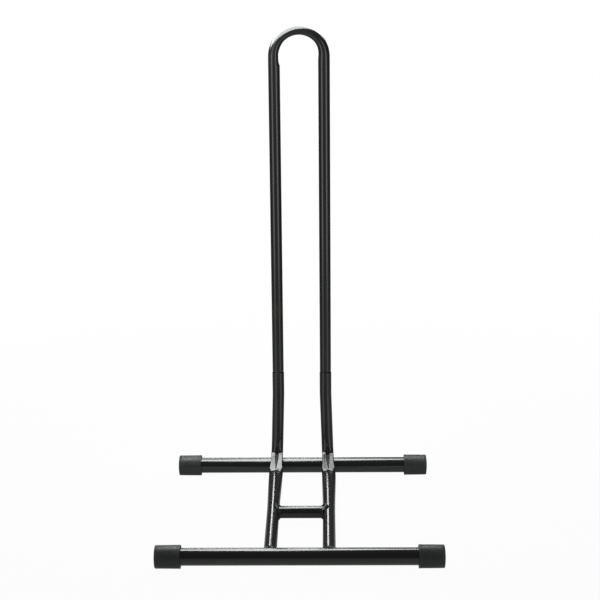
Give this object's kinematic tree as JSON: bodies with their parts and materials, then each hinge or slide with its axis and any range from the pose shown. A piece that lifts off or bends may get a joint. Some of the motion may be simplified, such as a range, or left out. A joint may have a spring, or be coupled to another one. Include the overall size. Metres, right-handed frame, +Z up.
{
  "type": "floor bike rack",
  "caption": "Freestanding floor rack for a bicycle wheel: crossbars with rubber caps, bent rails, a spacer and a tall plug-in wheel loop.",
  "frame": {"origin": "on the floor, midway between the two crossbars and between the two rails", "axes": "+X to the right along the crossbars, +Y from the front crossbar to the rear one under the loop, +Z up"},
  "size_m": [0.419, 0.3912, 0.748],
  "materials": {
    "black_paint": "gloss",
    "weld_paint": "gloss",
    "black_rubber": "satin"
  },
  "bodies": {
    "base": {"front_bar": "black_paint", "rear_bar": "black_paint", "left_rail": "black_paint", "right_rail": "black_paint", "spacer_bar": "black_paint", "front_left_weld": "weld_paint", "front_right_weld": "weld_paint", "rear_left_weld": "weld_paint", "rear_right_weld": "weld_paint", "spacer_left_weld": "weld_paint", "spacer_right_weld": "weld_paint", "front_left_cap": "black_rubber", "front_right_cap": "black_rubber", "rear_left_cap": "black_rubber", "rear_right_cap": "black_rubber"},
    "loop": {"upper_loop": "black_paint"}
  },
  "joints": [
    {"name": "loop_lift", "type": "slide", "parent": "base", "child": "loop", "axis": [0, 0, 1], "range_m": [0, 0.04]}
  ]
}
